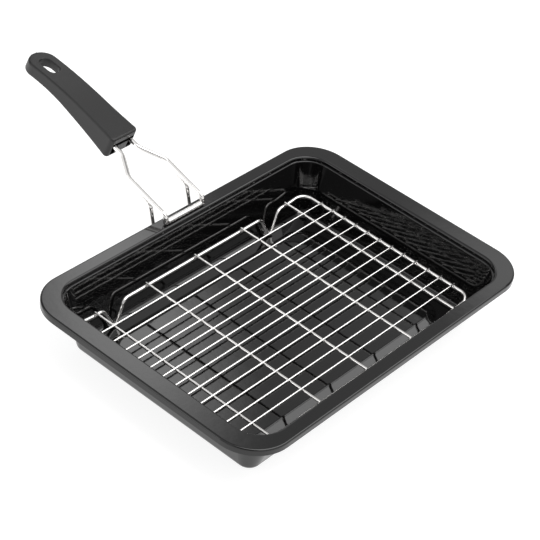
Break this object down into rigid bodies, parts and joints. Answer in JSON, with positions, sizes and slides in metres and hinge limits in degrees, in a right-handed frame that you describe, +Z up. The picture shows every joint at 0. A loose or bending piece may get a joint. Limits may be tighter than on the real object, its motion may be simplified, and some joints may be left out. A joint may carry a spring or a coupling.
{
  "type": "grill pan",
  "caption": "Rectangular enamelled grill pan with a rolled flat rim, a lift-out welded wire rack on feet, and a wire handle with a moulded grip that hooks over the rim.",
  "frame": {"origin": "middle of the pan's base, at the height of the surface that it stands on", "axes": "+Z up, Y along the pan's long side, X across it with the handle at -X"},
  "size_m": [0.4704, 0.388, 0.1278],
  "materials": {
    "enamel": "gloss black vitreous enamel on pressed steel",
    "rack_chrome": "bright plated wire",
    "handle_chrome": "bright plated wire",
    "grip_plastic": "satin black heat-resistant moulding"
  },
  "bodies": {
    "pan": {"pan_body": "enamel"},
    "rack": {"rack_frame_wire": "rack_chrome", "rack_cross_wire_1": "rack_chrome", "rack_cross_wire_2": "rack_chrome", "rack_cross_wire_3": "rack_chrome", "rack_cross_wire_4": "rack_chrome", "rack_cross_wire_5": "rack_chrome", "rack_fine_wire_01": "rack_chrome", "rack_fine_wire_02": "rack_chrome", "rack_fine_wire_03": "rack_chrome", "rack_fine_wire_04": "rack_chrome", "rack_fine_wire_05": "rack_chrome", "rack_fine_wire_06": "rack_chrome", "rack_fine_wire_07": "rack_chrome", "rack_fine_wire_08": "rack_chrome", "rack_fine_wire_09": "rack_chrome", "rack_fine_wire_10": "rack_chrome", "rack_fine_wire_11": "rack_chrome", "rack_fine_wire_12": "rack_chrome"},
    "handle": {"handle_bar": "handle_chrome", "handle_arm_left": "handle_chrome", "handle_arm_right": "handle_chrome", "handle_hook_left": "handle_chrome", "handle_hook_right": "handle_chrome", "grip": "grip_plastic", "grip_plug": "grip_plastic"}
  },
  "joints": [
    {"name": "rack_lift", "type": "slide", "parent": "pan", "child": "rack", "axis": [0, 0, 1], "range_m": [0, 0.06]},
    {"name": "handle_tilt", "type": "hinge", "parent": "pan", "child": "handle", "pos_m": [-0.1255, 0, 0.0608], "axis": [0, 1, 0], "range_deg": [0, 70]}
  ]
}
